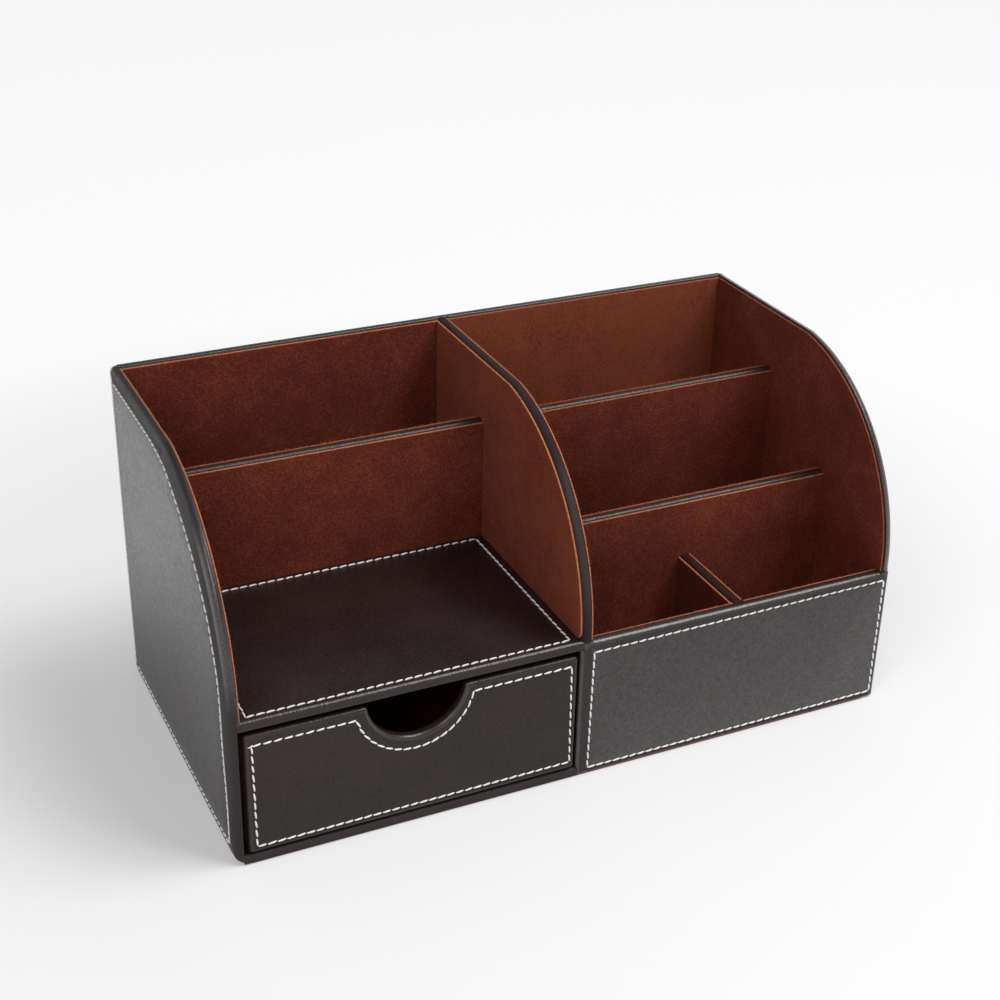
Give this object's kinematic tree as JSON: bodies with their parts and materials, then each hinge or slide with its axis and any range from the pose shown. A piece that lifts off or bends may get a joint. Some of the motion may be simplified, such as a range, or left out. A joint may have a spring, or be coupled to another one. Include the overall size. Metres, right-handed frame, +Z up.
{
  "type": "desk organizer with drawer",
  "caption": "Desk organizer of leather-covered boards with curved side panels, suede-lined upright pockets, a pen slot and a shelf above a pull-out drawer with a finger notch.",
  "frame": {"origin": "middle of the underside, on the surface that the organizer stands on", "axes": "+X to the right seen from the front, +Y to the back, +Z up; the drawer pulls out towards -Y"},
  "size_m": [0.278, 0.143, 0.141],
  "materials": {
    "hardboard": "raw pressed board",
    "leather": "dark brown smooth synthetic leather, semi-gloss",
    "suede": "warm brown brushed suede cloth",
    "base_cloth": "dull red-brown felted cloth"
  },
  "bodies": {
    "carcass": {"back_board": "hardboard", "back_cover": "leather", "back_left_lining": "suede", "back_right_lining": "suede", "base_board": "hardboard", "base_cloth": "base_cloth", "base_front_cover": "leather", "centre_binding": "leather", "centre_board": "hardboard", "centre_left_lining": "suede", "centre_right_lining": "suede", "front_board": "hardboard", "front_cover": "leather", "front_left_floor_lining": "suede", "front_lining": "suede", "front_right_floor_lining": "suede", "left_side_board": "hardboard", "left_side_cover": "leather", "left_side_lining": "suede", "middle_divider_binding": "leather", "middle_divider_board": "hardboard", "middle_divider_front_lining": "suede", "middle_divider_rear_lining": "suede", "middle_floor_lining": "suede", "pen_divider_binding": "leather", "pen_divider_board": "hardboard", "pen_divider_front_lining": "suede", "pen_divider_rear_lining": "suede", "pen_floor_lining": "suede", "rear_divider_binding": "leather", "rear_divider_board": "hardboard", "rear_divider_front_lining": "suede", "rear_divider_rear_lining": "suede", "rear_floor_lining": "suede", "right_side_board": "hardboard", "right_side_cover": "leather", "right_side_lining": "suede", "shelf_board": "hardboard", "shelf_cover": "leather", "small_divider_binding": "leather", "small_divider_board": "hardboard", "small_divider_left_lining": "suede", "small_divider_right_lining": "suede"},
    "drawer": {"drawer_back_board": "hardboard", "drawer_back_lining": "suede", "drawer_bottom_board": "hardboard", "drawer_floor_lining": "suede", "drawer_front_board": "hardboard", "drawer_front_cover": "leather", "drawer_front_lining": "suede", "drawer_left_board": "hardboard", "drawer_left_lining": "suede", "drawer_right_board": "hardboard", "drawer_right_lining": "suede"}
  },
  "joints": [
    {"name": "drawer_slide", "type": "slide", "parent": "carcass", "child": "drawer", "axis": [0, -1, 0], "range_m": [0, 0.08]}
  ]
}
